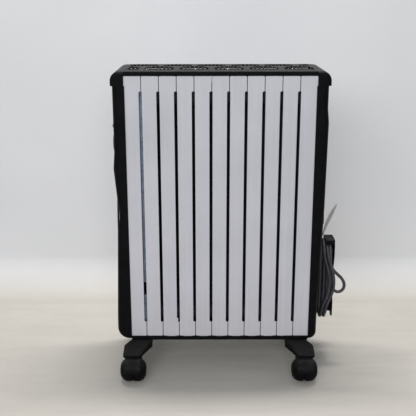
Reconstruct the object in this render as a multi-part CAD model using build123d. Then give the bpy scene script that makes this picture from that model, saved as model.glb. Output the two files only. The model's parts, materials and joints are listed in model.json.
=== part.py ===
from build123d import *
import os
from math import atan2, degrees, radians, tan

# Oil filled radiator heater. Millimetres, +Z up, front face towards -Y, control end at -X, winder end at +X.
# Everything is modelled about the middle of the row of slats and moved by ORIGIN_X when it is saved, so
# that the origin is the middle of the standing footprint on the floor.

# ------------------------------------------------------------------ driving dimensions
PITCH = 36.0                # from one slat to the next
FIN_COUNT = 10              # oil filled fins; one more dry slat covers the control compartment
SHEET = 0.8                 # steel sheet of slats and fins
FIN_BOTTOM = 83.0
FIN_TOP = 656.0
FACE_Y = 80.0               # outer face of the slats, front and rear
SLAT_GAP = 1.3              # line between two slats above and below the slot
SLOT_LEFT = 4.8             # slot cut into the slat on its left
SLOT_RIGHT = 1.6            # slot cut into the slat on its right
SLOT_BOTTOM = 117.0
SLOT_TOP = 625.0
LIP_DEPTH = 6.5             # lip folded back along each slot
LIP_MARGIN = 4.0            # the lip stops this short of the slot's ends
SLAT_CORNER_R = 2.2
FOLD_R = 0.6                # outer edges of the slats rolled over
WEB_MARGIN = 12.0           # the web stops this short of the slats' ends

CHANNEL_HALF = 8.0          # oil channels reach this far each side of the web
CHANNEL_Y = 27.0            # centre of each vertical oil channel
CHANNEL_WIDTH = 32.0
CHANNEL_CORNER_R = 5.0
HEADER_PROUD = 0.8          # headers stand proud of the channels by this much, each side
HEADER_LOW = 130.0
HEADER_HIGH = 610.0
HEADER_HEIGHT = 44.0
HEADER_LENGTH = 116.0
COLLAR_R = 20.0
HEADER_BORE_R = 16.5

BODY_Y = 82.0               # front and rear faces of the plastic covers
SEAM_X = 197.4              # where the top cover meets the two grips
PANEL_EDGE_X = 195.6        # inner edge of the side casings over the slats
CASING_BOTTOM = 73.5
CASING_TOP = 636.0
COVER_TOP = 665.5
CROWN = 3.0                 # the top cover is this much higher along its middle
WALL = 2.4
SIDE_WALL = 1.8             # front and rear walls of the covers
COVER_GAP = 0.2             # clearance between neighbouring covers and slats

CONTROL_Y = -30.0           # column of controls on the control end
UPPER_ROCKER_Z = 553.0
DIAL_Z = 512.0
LOWER_ROCKER_Z = 472.0
PIVOT_X = -217.4            # rocker pivots
ROCKER_R = 12.4
ROCKER_TILT = 8.0           # a rocker rests this far to one side
DIAL_R = 21.5

FOOT_SHIFT_X = -2.5         # both feet sit this far towards the control end
FOOT_HALF_SPAN = 169.0      # middle of each foot's bar
CASTER_HALF_SPAN = 187.0    # casters stand further out than the bars
STEM_Y = 115.0
TRAIL = 12.0
WHEEL_R = 25.0
WHEEL_HALF_WIDTH = 27.0
STEM_R = 4.0
STEM_TOP = 64.8             # the stem turns in a blind hole in the foot's pad
AXLE_R = 3.0
RUNNING = 0.05              # radial clearance of everything that turns

CORD_D = 7.0
TURN_R = 21.0               # centre line of the cord round the winder's saddles
SADDLE_R = 17.5
SADDLE_HIGH = 252.0
SADDLE_LOW = 127.0
FLANGE_X = 255.0            # inner face of the winder's flange
FLANGE_THICK = 2.6
HANK_X0 = 222.6
HANK_X1 = 254.6
OUTLET_X = 226.8            # the cord leaves the casing here, straight down
OUTLET_Z = 334.0
OUTLET_BORE_R = 4.6
RELIEF_TOP = 329.0
RELIEF_BOTTOM = 296.0
RELIEF_TOP_R = 4.8
RELIEF_BOTTOM_R = 4.2

CONTROL_X = -228.0          # outermost point of the control end, a rocker key
ORIGIN_X = (CONTROL_X + FLANGE_X + FLANGE_THICK) / 2

os.makedirs("parts", exist_ok=True)


# ------------------------------------------------------------------ helpers
def span_box(x0, x1, y0, y1, z0, z1):
    """Box between its low and high limits."""
    return Pos((x0 + x1) / 2, (y0 + y1) / 2, (z0 + z1) / 2) * Box(x1 - x0, y1 - y0, z1 - z0)


def rod(radius, start, end):
    """Round rod from one point to another."""
    along = Vector(*end) - Vector(*start)
    base = Plane(origin=start, z_dir=along)
    return base * Cylinder(radius, along.length, align=(Align.CENTER, Align.CENTER, Align.MIN))


def hexagon_rod(across_flats, x, y, z0, z1):
    """Upright hexagonal prism."""
    outline = RegularPolygon(across_flats / 2, 6, major_radius=False)
    return extrude(Pos(x, y, z0) * outline, z1 - z0)


def tube_along(points, radii, radius):
    """Round tube along straight runs joined by tangent arcs."""
    path = FilletPolyline(*points, radius=radii)
    section = Plane(origin=path @ 0, z_dir=path % 0) * Circle(radius)
    return sweep(section, path=path), path


def cord_radii(points):
    """The largest arc that each pair of runs allows."""
    radii = []
    for before, here, after in zip(points, points[1:], points[2:]):
        run_in = Vector(*here) - Vector(*before)
        run_out = Vector(*after) - Vector(*here)
        turn = radians(run_in.get_angle(run_out))
        radii.append(0.45 * min(run_in.length, run_out.length) / tan(turn / 2))
    return radii


def save(name, *solids):
    """Write one node, moved so that the origin is the middle of the footprint."""
    moved = [Pos(-ORIGIN_X, 0, 0) * solid for solid in solids]
    shape = moved[0] if len(moved) == 1 else Compound(children=moved)
    export_step(shape, f"parts/{name}.step")


def cord_tube(name, points):
    """One stretch of free cord, with its radii and its volume against section times length."""
    radii = cord_radii(points)
    solid, path = tube_along(points, radii, CORD_D / 2)
    ideal = Circle(CORD_D / 2).area * path.length
    print(name, "length", round(path.length, 1), "radii", [round(radius, 1) for radius in radii],
          "volume ratio", round(solid.volume / ideal, 4))
    save(name, solid)


# ------------------------------------------------------------------ slats and oil fins
def slat_face(cut_left, cut_right):
    """Flat face of one slat in the XZ plane, its left boundary line at X = 0."""
    middle = (FIN_BOTTOM + FIN_TOP) / 2
    slot_middle = (SLOT_BOTTOM + SLOT_TOP) / 2
    slot_length = SLOT_TOP - SLOT_BOTTOM
    face = Pos(PITCH / 2, middle) * RectangleRounded(PITCH - SLAT_GAP, FIN_TOP - FIN_BOTTOM, SLAT_CORNER_R)
    if cut_right:
        face -= Pos(PITCH, slot_middle) * RectangleRounded(2 * SLOT_LEFT, slot_length, 3.0)
    if cut_left:
        face -= Pos(0, slot_middle) * RectangleRounded(2 * SLOT_RIGHT, slot_length, 1.4)
    return face


def slat_plate(cut_left=True, cut_right=True):
    """Front plate with its outer edges rolled back and a return lip along the slot on its right."""
    plate = extrude(Plane.XZ * slat_face(cut_left, cut_right), SHEET)
    outer_edges = plate.faces().sort_by(Axis.Y)[0].edges()
    plate = fillet(outer_edges, FOLD_R)
    plate = Pos(0, -FACE_Y + SHEET, 0) * plate
    lip_x = PITCH - SLOT_LEFT if cut_right else PITCH - SLAT_GAP
    lip = span_box(lip_x - SHEET, lip_x, -FACE_Y + SHEET, -FACE_Y + LIP_DEPTH,
                   SLOT_BOTTOM + LIP_MARGIN, SLOT_TOP - LIP_MARGIN)
    return plate + lip


def stadium_x(length, height, x0, x1, z):
    """Stadium shape, long in Y, extruded along X."""
    outline = Plane(origin=(x0, 0, z), x_dir=(0, 1, 0), z_dir=(1, 0, 0)) * SlotOverall(length, height)
    return extrude(outline, x1 - x0)


def oil_envelope(inset):
    """Pressed header stadiums and vertical channels, shrunk by an inset for the inside."""
    web_x = SLOT_RIGHT + SHEET / 2
    low_x = web_x - CHANNEL_HALF + inset
    high_x = web_x + CHANNEL_HALF - inset
    shape = None
    for header_z in (HEADER_LOW, HEADER_HIGH):
        header = stadium_x(HEADER_LENGTH - 2 * inset, HEADER_HEIGHT - 2 * inset, low_x, high_x, header_z)
        shape = header if shape is None else shape + header
    width = CHANNEL_WIDTH - 2 * inset
    thick = high_x - low_x - 2 * HEADER_PROUD
    section = RectangleRounded(thick, width, CHANNEL_CORNER_R - inset)
    for channel_y in (-CHANNEL_Y, CHANNEL_Y):
        base = Pos((low_x + high_x) / 2, channel_y, HEADER_LOW)
        shape += extrude(base * section, HEADER_HIGH - HEADER_LOW)
    return shape


def oil_fin(cut_right=True):
    """One pressed fin: two faces, the web between them and the hollow oil way."""
    plate = slat_plate(cut_right=cut_right)
    web = span_box(SLOT_RIGHT, SLOT_RIGHT + SHEET, -FACE_Y + SHEET, FACE_Y - SHEET,
                   FIN_BOTTOM + WEB_MARGIN, FIN_TOP - WEB_MARGIN)
    fin = plate + mirror(plate, about=Plane.XZ) + web + oil_envelope(0) - oil_envelope(SHEET)
    for header_z in (HEADER_LOW, HEADER_HIGH):
        fin -= rod(HEADER_BORE_R, (-PITCH, 0, header_z), (PITCH, 0, header_z))
    return fin


def fin_left(number):
    """X of the boundary line on the left of a fin, counted from 1."""
    return -(FIN_COUNT + 1) * PITCH / 2 + PITCH * number


FIN_LOW_X = SLOT_RIGHT + SHEET / 2 - CHANNEL_HALF       # header faces, from a fin's boundary line
FIN_HIGH_X = SLOT_RIGHT + SHEET / 2 + CHANNEL_HALF
HEADER_START = fin_left(1) + FIN_LOW_X
HEADER_END = fin_left(FIN_COUNT) + FIN_HIGH_X

fin_template = oil_fin()
for number in range(1, FIN_COUNT):
    save(f"fin_{number:02d}", Pos(fin_left(number), 0, 0) * fin_template)
save(f"fin_{FIN_COUNT:02d}", Pos(fin_left(FIN_COUNT), 0, 0) * oil_fin(cut_right=False))

DRY_TAB_X = 4.0             # fixing tab behind the left edge of the dry slat
dry_plate = slat_plate(cut_left=False)
dry_tab = span_box(DRY_TAB_X, DRY_TAB_X + SHEET, -FACE_Y + SHEET, -FACE_Y + LIP_DEPTH,
                   SLOT_BOTTOM + LIP_MARGIN, SLOT_TOP - LIP_MARGIN)
dry_slat = Pos(fin_left(0), 0, 0) * (dry_plate + dry_tab)
save("end_slats", dry_slat, mirror(dry_slat, about=Plane.XZ))


# ------------------------------------------------------------------ headers, elements and oil
BLANK_THICK = 3.0           # blanking plugs at the ends of the headers


def header_fittings():
    """Collars welded between neighbouring fins and the three blanking plugs."""
    pieces = []
    for header_z in (HEADER_LOW, HEADER_HIGH):
        for number in range(1, FIN_COUNT):
            x0 = fin_left(number) + FIN_HIGH_X
            x1 = fin_left(number + 1) + FIN_LOW_X
            collar = rod(COLLAR_R, (x0, 0, header_z), (x1, 0, header_z))
            pieces.append(collar - rod(HEADER_BORE_R, (x0, 0, header_z), (x1, 0, header_z)))
    pieces.append(rod(COLLAR_R, (HEADER_START - BLANK_THICK, 0, HEADER_HIGH), (HEADER_START, 0, HEADER_HIGH)))
    for header_z in (HEADER_LOW, HEADER_HIGH):
        pieces.append(rod(COLLAR_R, (HEADER_END, 0, header_z), (HEADER_END + BLANK_THICK, 0, header_z)))
    return pieces


ELEMENT_R = 4.2
ELEMENT_BEND_R = 6.0
ELEMENT_Y = 7.0
ELEMENT_SPREAD = 6.5
ELEMENT_START = -190.0
ELEMENT_END = 140.0
FLANGE_DEPTH = 6.0
FLANGE_R = 24.0
BRAZE_GAP = 0.02


def heating_element(z, radius):
    """Hairpin lying flat in the lower header."""
    points = [(ELEMENT_START, -ELEMENT_Y, z), (ELEMENT_END, -ELEMENT_Y, z),
              (ELEMENT_END, ELEMENT_Y, z), (ELEMENT_START, ELEMENT_Y, z)]
    return tube_along(points, ELEMENT_BEND_R, radius)[0]


ELEMENT_LEVELS = (HEADER_LOW - ELEMENT_SPREAD, HEADER_LOW + ELEMENT_SPREAD)
element_flange = rod(FLANGE_R, (HEADER_START - FLANGE_DEPTH, 0, HEADER_LOW), (HEADER_START, 0, HEADER_LOW))
for level in ELEMENT_LEVELS:
    for leg_y in (-ELEMENT_Y, ELEMENT_Y):
        element_flange -= rod(ELEMENT_R + BRAZE_GAP, (ELEMENT_START, leg_y, level),
                              (HEADER_START + 1, leg_y, level))

OIL_CLEARANCE = 0.3
OIL_SHORTFALL = 8.0         # cold oil stands this far below the upper header's middle
oil_inset = SHEET + OIL_CLEARANCE
oil_level = HEADER_HIGH - OIL_SHORTFALL
below_level = span_box(-PITCH, PITCH, -FACE_Y, FACE_Y, FIN_BOTTOM, oil_level)
oil_way = oil_envelope(oil_inset) & below_level
oil = rod(HEADER_BORE_R - OIL_CLEARANCE, (HEADER_START + oil_inset, 0, HEADER_LOW),
          (HEADER_END - oil_inset, 0, HEADER_LOW))
for number in range(1, FIN_COUNT + 1):
    oil += Pos(fin_left(number), 0, 0) * oil_way
for level in ELEMENT_LEVELS:
    oil -= heating_element(level, ELEMENT_R + OIL_CLEARANCE)

save("header_fittings", *header_fittings())
save("element_flange", element_flange)
save("heating_elements", *[heating_element(level, ELEMENT_R) for level in ELEMENT_LEVELS])
save("oil_fill", oil)


# ------------------------------------------------------------------ sheet metal at both ends
SHIELD_X = -180.0
SHIELD_FLANGE_END = -161.0
SHIELD_Y = 72.0
SHIELD_BOTTOM = 95.0
SHIELD_TOP = 648.0
SHIELD_THICK = 1.0
SHIELD_NOTCH_X = -172.0     # notch in the edge of the front flange
SHIELD_NOTCH_LOW = 178.0
SHIELD_NOTCH_HIGH = 208.0
SHIELD_HOLE_R = 26.0        # clears the element flange
heat_shield = span_box(SHIELD_X, SHIELD_X + SHIELD_THICK, -SHIELD_Y, SHIELD_Y, SHIELD_BOTTOM, SHIELD_TOP)
for flange_y in (-SHIELD_Y, SHIELD_Y - SHIELD_THICK):
    heat_shield += span_box(SHIELD_X, SHIELD_FLANGE_END, flange_y, flange_y + SHIELD_THICK,
                            SHIELD_BOTTOM, SHIELD_TOP)
heat_shield -= span_box(SHIELD_NOTCH_X, SHIELD_FLANGE_END + 1, -SHIELD_Y - 1, -SHIELD_Y + 2,
                        SHIELD_NOTCH_LOW, SHIELD_NOTCH_HIGH)
heat_shield -= rod(SHIELD_HOLE_R, (SHIELD_X - 1, 0, HEADER_LOW), (SHIELD_X + 2, 0, HEADER_LOW))
save("heat_shield", heat_shield)

BRACKET_X = 199.0
BRACKET_THICK = 1.2
BRACKET_HALF_DEPTH = 70.0
BRACKET_TOP = 628.0
BRACKET_WINDOW_LENGTH = 90.0
BRACKET_WINDOW_HEIGHT = 40.0
end_bracket = span_box(BRACKET_X, BRACKET_X + BRACKET_THICK, -BRACKET_HALF_DEPTH, BRACKET_HALF_DEPTH,
                       SHIELD_BOTTOM, BRACKET_TOP)
for window_z in (200, 340, 480):
    window = Plane(origin=(BRACKET_X - 1, 0, window_z), x_dir=(0, 1, 0), z_dir=(1, 0, 0))
    end_bracket -= extrude(window * SlotOverall(BRACKET_WINDOW_LENGTH, BRACKET_WINDOW_HEIGHT), 4)
save("end_bracket", end_bracket)


# ------------------------------------------------------------------ side casings and grips
CONTROL_PROFILE = [(221.5, 500), (224.4, 462), (217.2, 380), (215.6, 368), (215.6, 352), (219.8, 334),
                   (226.8, 120)]
CONTROL_RADII = [90, 30, 30, 8, 8, 30, 60]
CONTROL_CORNER_R = 26.0
WINDER_PROFILE = [(221.0, 590), (224.0, 560), (222.3, 376), (214.8, 120)]
WINDER_RADII = [40, 60, 200, 60]
WINDER_CORNER_R = 17.0
CASING_EDGE_R = 12.0        # long edges, front and rear
INNER_OVERRUN = 6.0         # the hollow runs this far past the open side


def casing_outline(side, profile, radii, inset):
    """Casing seen from the front: straight inner side, shaped outer side, rounded bottom corner."""
    inner = PANEL_EDGE_X - (INNER_OVERRUN if inset else 0)
    bottom = CASING_BOTTOM + inset
    points = [(inner, CASING_TOP - inset), (profile[0][0] - inset, CASING_TOP - inset)]
    points += [(x - inset, z) for x, z in profile]
    points += [(profile[-1][0] - inset, bottom), (inner, bottom)]
    corner_r = CONTROL_CORNER_R if side < 0 else WINDER_CORNER_R
    path = [(side * x, z) for x, z in points]
    edge = FilletPolyline(*path, radius=[0] + radii + [corner_r - inset])
    return make_face([*edge.edges(), Line(path[-1], path[0])])


def casing_body(side, profile, radii, inset):
    """Outer or inner form of a casing, its long edges rounded front and rear."""
    half = BODY_Y - (SIDE_WALL if inset else 0)
    body = extrude(Plane.XZ * casing_outline(side, profile, radii, inset), half, both=True)
    inner = PANEL_EDGE_X - (INNER_OVERRUN if inset else 0)
    top = CASING_TOP - inset

    def is_long_edge(edge):
        centre = edge.center()
        on_face = abs(abs(centre.Y) - half) < 0.01
        on_seam = abs(abs(centre.X) - inner) < 0.01 or abs(centre.Z - top) < 0.01
        return on_face and not on_seam

    return fillet([edge for edge in body.edges() if is_long_edge(edge)], CASING_EDGE_R - inset)


POCKET_LOW = 606.0
POCKET_HALF = 46.0
POCKET_DEEP_X = 207.0
POCKET_OUT_X = 240.0        # beyond the casing's outer face
GRIP_X = 225.0
GRIP_CORNER_R = 20.0
GRIP_EDGE_R = 6.0
GRIP_PROUD = 0.5            # the grips stand this far proud of the top cover, front and rear
GRIP_REBATE = 1.6           # the casings are relieved this far past the seam for the slats


def casing_shell(side, profile, radii):
    """Hollow casing, open towards the slats, with a finger pocket under the grip."""
    pocket_top = CASING_TOP - WALL
    deep = side * POCKET_DEEP_X
    out = side * POCKET_OUT_X
    pocket = span_box(min(deep, out), max(deep, out), -POCKET_HALF, POCKET_HALF, POCKET_LOW, pocket_top)
    lining_deep = side * (POCKET_DEEP_X - WALL)
    lining_half = POCKET_HALF + WALL
    lining = span_box(min(lining_deep, out), max(lining_deep, out), -lining_half, lining_half,
                      POCKET_LOW - WALL, CASING_TOP)
    hollow = casing_body(side, profile, radii, WALL) - lining
    slat_low = side * (PANEL_EDGE_X - 1)
    slat_high = side * (SEAM_X + GRIP_REBATE)
    slat_room = span_box(min(slat_low, slat_high), max(slat_low, slat_high), -FACE_Y - COVER_GAP,
                         FACE_Y + COVER_GAP, FIN_BOTTOM - 0.5, CASING_TOP + 1)
    return casing_body(side, profile, radii, 0) - hollow - pocket - slat_room


def grip_cap(side):
    """Rounded grip over the end of the body, hollow from below."""
    def form(inset, half, low):
        corner = [(SEAM_X - 2 * inset, COVER_TOP - inset), (GRIP_X - inset, COVER_TOP - inset),
                  (GRIP_X - inset, low)]
        path = [(side * x, z) for x, z in corner]
        edge = FilletPolyline(*path, radius=GRIP_CORNER_R - inset)
        inner_low = (path[0][0], low)
        outline = make_face([*edge.edges(), Line(path[-1], inner_low), Line(inner_low, path[0])])
        body = extrude(Plane.XZ * outline, half, both=True)
        rounded = [item for item in body.edges() if abs(abs(item.center().Y) - half) < 0.01
                   and abs(item.center().Z - low) > 0.01
                   and abs(abs(item.center().X) - abs(path[0][0])) > 0.01]
        return fillet(rounded, GRIP_EDGE_R - inset)

    half = BODY_Y + GRIP_PROUD
    return form(0, half, CASING_TOP) - form(WALL, half - WALL, CASING_TOP - 5)


control_casing = casing_shell(-1, CONTROL_PROFILE, CONTROL_RADII)
winder_casing = casing_shell(1, WINDER_PROFILE, WINDER_RADII)
winder_outer = casing_body(1, WINDER_PROFILE, WINDER_RADII, 0)

CLIP_Y = -50.0
CLIP_WIDTH = 12.0
clip_outline = Polyline((-216.5, 328), (-221.2, 328), (-220.2, 392), (-216.6, 392), (-218.2, 376),
                        (-218.6, 340), (-216.5, 328))
clip_plane = Plane(origin=(0, CLIP_Y, 0), x_dir=(1, 0, 0), z_dir=(0, -1, 0))
cord_clip = extrude(clip_plane * make_face(clip_outline), CLIP_WIDTH)
control_casing += cord_clip

# ------------------------------------------------------------------ controls on the end face
BEZEL_LOW = 448.0
BEZEL_HIGH = 594.0
BEZEL_WIDTH = 52.0
BEZEL_CORNER_R = 14.0
BEZEL_PROUD = 1.6
OUTSIDE_X = -232.0          # well outside the control end, where holes are started
PILOT_Z = 583.0
PILOT_R = 3.5
ROCKER_WIDTH = 13.0
ROCKER_GAP = 0.5            # gap between a key and its aperture
TRUNNION_R = 1.2
TRUNNION_LENGTH = 1.4

bezel_middle = (BEZEL_LOW + BEZEL_HIGH) / 2
bezel_plane = Plane(origin=(OUTSIDE_X - 8, CONTROL_Y, bezel_middle), x_dir=(0, 1, 0), z_dir=(1, 0, 0))
bezel_outline = bezel_plane * RectangleRounded(BEZEL_WIDTH, BEZEL_HIGH - BEZEL_LOW, BEZEL_CORNER_R)
control_outer = casing_body(-1, CONTROL_PROFILE, CONTROL_RADII, 0)
bezel = extrude(bezel_outline, 30) & (Pos(-BEZEL_PROUD, 0, 0) * control_outer)
bezel -= control_outer

dial_hole = rod(DIAL_R + 1.0, (OUTSIDE_X, CONTROL_Y, DIAL_Z), (-205, CONTROL_Y, DIAL_Z))
pilot_hole = rod(PILOT_R + 0.1, (OUTSIDE_X, CONTROL_Y, PILOT_Z), (-212, CONTROL_Y, PILOT_Z))
control_casing = control_casing - dial_hole - pilot_hole
bezel = bezel - dial_hole - pilot_hole
aperture_half_width = ROCKER_WIDTH / 2 + ROCKER_GAP
aperture_half_height = ROCKER_R + ROCKER_GAP
for rocker_z in (UPPER_ROCKER_Z, LOWER_ROCKER_Z):
    aperture = span_box(OUTSIDE_X, -212, CONTROL_Y - aperture_half_width, CONTROL_Y + aperture_half_width,
                        rocker_z - aperture_half_height, rocker_z + aperture_half_height)
    control_casing -= aperture
    bezel -= aperture

save("winder_end_cover", winder_casing - rod(OUTLET_BORE_R, (200, 0, OUTLET_Z), (POCKET_OUT_X, 0, OUTLET_Z)))
save("control_end_cover", control_casing)
save("grip_cap_control", grip_cap(-1))
save("grip_cap_winder", grip_cap(1))
save("control_bezel", bezel)


KEY_OUT = 9.6               # the key's tips, its back and the hollow of its face, from the pivot
KEY_BACK = 3.0
KEY_HOLLOW_R = 26.0
KEY_HOLLOW_X = -34.6
SWITCH_FRONT_X = -218.9
SWITCH_WELL_X = -206.0
SWITCH_BACK_X = -197.0
SWITCH_HALF = 13.5
SWITCH_HALF_WIDTH = 9.5
SPINDLE_R = 3.0
KNOB_FRONT_X = -225.6
KNOB_DISH_X = -221.5
KNOB_BACK_X = -214.5
KNOB_RIM = 3.0
KNOB_BAR_WIDTH = 7.0
THERMOSTAT_HALF = 16.0
THERMOSTAT_FRONT_X = -211.0
THERMOSTAT_BACK_X = -191.0
COLLAR_FRONT_X = -213.6


def rocker(z):
    """Rocker switch key on two small trunnions, resting with its lower half pressed."""
    half = ROCKER_WIDTH / 2
    key = rod(ROCKER_R, (0, -half, 0), (0, half, 0))
    key &= span_box(-KEY_OUT, KEY_BACK, -ROCKER_WIDTH, ROCKER_WIDTH, -ROCKER_R - 1, ROCKER_R + 1)
    key -= rod(KEY_HOLLOW_R, (KEY_HOLLOW_X, -ROCKER_WIDTH, 0), (KEY_HOLLOW_X, ROCKER_WIDTH, 0))
    key += rod(TRUNNION_R, (0, -half - TRUNNION_LENGTH, 0), (0, half + TRUNNION_LENGTH, 0))
    return Pos(PIVOT_X, CONTROL_Y, z) * Rot(0, ROCKER_TILT, 0) * key


def switch_body(z):
    """Switch housing behind the casing, with cheeks that carry the key's trunnions."""
    well_half = ROCKER_WIDTH / 2 + 0.3
    body = span_box(SWITCH_FRONT_X, SWITCH_BACK_X, CONTROL_Y - SWITCH_HALF_WIDTH, CONTROL_Y + SWITCH_HALF_WIDTH,
                    z - SWITCH_HALF, z + SWITCH_HALF)
    body -= span_box(SWITCH_FRONT_X - 0.1, SWITCH_WELL_X, CONTROL_Y - well_half, CONTROL_Y + well_half,
                     z - aperture_half_height, z + aperture_half_height)
    body -= rod(TRUNNION_R + RUNNING, (PIVOT_X, CONTROL_Y - 9, z), (PIVOT_X, CONTROL_Y + 9, z))
    return body


def thermostat_dial():
    """Round knob with a finger bar across its face, on its own spindle."""
    centre = (CONTROL_Y, DIAL_Z)
    knob = rod(DIAL_R, (KNOB_FRONT_X, *centre), (KNOB_BACK_X, *centre))
    knob = fillet(knob.edges().sort_by(Axis.X)[0], 1.5)
    dish = rod(DIAL_R - KNOB_RIM, (KNOB_FRONT_X - 0.4, *centre), (KNOB_DISH_X, *centre))
    bar_depth = KNOB_DISH_X + 2.1 - KNOB_FRONT_X
    bar = Pos(KNOB_FRONT_X + bar_depth / 2, *centre) * Box(bar_depth, KNOB_BAR_WIDTH, 2 * DIAL_R - 4)
    knob = knob - dish + fillet(bar.edges().filter_by(Axis.X), 1.5)
    return knob + rod(SPINDLE_R, (KNOB_BACK_X - 0.5, *centre), (-200, *centre))


thermostat_body = span_box(THERMOSTAT_FRONT_X, THERMOSTAT_BACK_X, CONTROL_Y - THERMOSTAT_HALF,
                           CONTROL_Y + THERMOSTAT_HALF, DIAL_Z - THERMOSTAT_HALF, DIAL_Z + THERMOSTAT_HALF)
thermostat_body += rod(2 * SPINDLE_R, (COLLAR_FRONT_X, CONTROL_Y, DIAL_Z),
                       (THERMOSTAT_FRONT_X, CONTROL_Y, DIAL_Z))
thermostat_body -= rod(SPINDLE_R + RUNNING, (COLLAR_FRONT_X - 0.4, CONTROL_Y, DIAL_Z),
                       (-199.5, CONTROL_Y, DIAL_Z))

pilot_lens = rod(PILOT_R, (-223.6, CONTROL_Y, PILOT_Z), (-216, CONTROL_Y, PILOT_Z))
pilot_lens = fillet(pilot_lens.edges().sort_by(Axis.X)[0], 1.2)

save("power_rocker_upper", rocker(UPPER_ROCKER_Z))
save("power_rocker_lower", rocker(LOWER_ROCKER_Z))
save("switch_bodies", switch_body(UPPER_ROCKER_Z), switch_body(LOWER_ROCKER_Z))
save("thermostat_dial", thermostat_dial())
save("thermostat_body", thermostat_body)
save("pilot_lens", pilot_lens)

# ------------------------------------------------------------------ electrical parts inside
BLOCK_X0 = -211.0
BLOCK_X1 = -196.0
BLOCK_Y0 = -56.0
BLOCK_Y1 = -16.0
BLOCK_LOW = 215.0
BLOCK_HIGH = 235.0
TERMINAL_YS = (-48.0, -36.0, -24.0)     # return, mains and feed terminals
TERMINAL_R = 2.4
terminal_block = span_box(BLOCK_X0, BLOCK_X1, BLOCK_Y0, BLOCK_Y1, BLOCK_LOW, BLOCK_HIGH)
for terminal_y in TERMINAL_YS:
    terminal_z = (BLOCK_LOW + BLOCK_HIGH) / 2
    terminal_block -= rod(TERMINAL_R, (BLOCK_X0 - 1, terminal_y, terminal_z), (-201, terminal_y, terminal_z))
save("terminal_block", terminal_block)

CUTOUT_R = 8.0
CUTOUT_Y = 40.0
CUTOUT_THICK = 7.0
CUTOUT_TAB = 2.5
cutout_x = HEADER_START - CUTOUT_THICK
thermal_cutout = rod(CUTOUT_R, (cutout_x, CUTOUT_Y, HEADER_HIGH), (HEADER_START, CUTOUT_Y, HEADER_HIGH))
thermal_cutout += span_box(cutout_x - CUTOUT_TAB, cutout_x, CUTOUT_Y - 4, CUTOUT_Y + 4,
                           HEADER_HIGH - 3, HEADER_HIGH + 3)
save("thermal_cutout", thermal_cutout)

TIP_X = -201.0
TIP_Y = 28.0
TIP_Z = 136.0
TIP_HALF_X = 10.0
TIP_HALF_Y = 18.0
TIP_BELOW = 40.0
TIP_ABOVE = 10.0
TIP_WALL = 2.0
TIP_PIN_R = 1.5
TIP_ARM = 26.0
TIP_HUB_R = 4.0
TIP_BOB_R = 7.0
tip_housing = span_box(TIP_X - TIP_HALF_X, TIP_X + TIP_HALF_X, TIP_Y - TIP_HALF_Y, TIP_Y + TIP_HALF_Y,
                       TIP_Z - TIP_BELOW, TIP_Z + TIP_ABOVE)
tip_housing -= span_box(TIP_X - TIP_HALF_X - 1, TIP_X + TIP_HALF_X - TIP_WALL,
                        TIP_Y - TIP_HALF_Y + TIP_WALL, TIP_Y + TIP_HALF_Y - TIP_WALL,
                        TIP_Z - TIP_BELOW + TIP_WALL, TIP_Z + TIP_ABOVE - TIP_WALL)
tip_housing += rod(TIP_PIN_R, (TIP_X - 6, TIP_Y, TIP_Z), (TIP_X + 9, TIP_Y, TIP_Z))
tip_weight = span_box(TIP_X - 1.5, TIP_X + 1.5, TIP_Y - 1.5, TIP_Y + 1.5, TIP_Z - TIP_ARM + 2, TIP_Z)
tip_weight += rod(TIP_HUB_R, (TIP_X - 3, TIP_Y, TIP_Z), (TIP_X + 3, TIP_Y, TIP_Z))
tip_weight += rod(TIP_BOB_R, (TIP_X - 5, TIP_Y, TIP_Z - TIP_ARM), (TIP_X + 5, TIP_Y, TIP_Z - TIP_ARM))
tip_weight -= rod(TIP_PIN_R + RUNNING, (TIP_X - 6, TIP_Y, TIP_Z), (TIP_X + 6, TIP_Y, TIP_Z))
save("tip_over_switch", tip_housing)
save("tip_over_weight", tip_weight)

WIRE_R = 1.3
WIRE_X = -203.0             # the wires run down inside the control end
MAINS_R = 3.2
return_y, mains_y, feed_y = TERMINAL_YS
feed_wire = tube_along([(WIRE_X, feed_y, BLOCK_HIGH), (WIRE_X, feed_y, 300), (WIRE_X, -34, 380),
                        (WIRE_X, -34, LOWER_ROCKER_Z - SWITCH_HALF)], 30, WIRE_R)[0]
return_wire = tube_along([(WIRE_X, return_y, BLOCK_HIGH), (WIRE_X, return_y, 300), (WIRE_X, -56, 380),
                          (WIRE_X, -56, 520), (WIRE_X, -36, 600), (WIRE_X, -24, 600),
                          (WIRE_X, -24, UPPER_ROCKER_Z + SWITCH_HALF)], [30, 30, 30, 5, 5], WIRE_R)[0]
link_low = rod(WIRE_R, (WIRE_X, CONTROL_Y, LOWER_ROCKER_Z + SWITCH_HALF),
               (WIRE_X, CONTROL_Y, DIAL_Z - THERMOSTAT_HALF))
link_high = rod(WIRE_R, (WIRE_X, CONTROL_Y, DIAL_Z + THERMOSTAT_HALF),
                (WIRE_X, CONTROL_Y, UPPER_ROCKER_Z - SWITCH_HALF))
element_top = ELEMENT_LEVELS[1] + ELEMENT_R
element_wire = tube_along([(WIRE_X, -44, BLOCK_LOW), (WIRE_X, -44, 175), (-186, -ELEMENT_Y, 165),
                           (-186, -ELEMENT_Y, element_top)], [12, 8], WIRE_R)[0]
mains_inside = tube_along([(OUTLET_X - 2, 0, OUTLET_Z), (210, 0, OUTLET_Z), (209, 44, 290), (209, 60, 120),
                           (205, 60, 88), (-190, 60, 88), (-205, 4, 92), (-205, mains_y, 110),
                           (-205, mains_y, BLOCK_LOW)], [6, 18, 60, 12, 30, 18, 14], MAINS_R)[0]
save("wiring", feed_wire, return_wire, link_low, link_high, element_wire, mains_inside)

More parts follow.
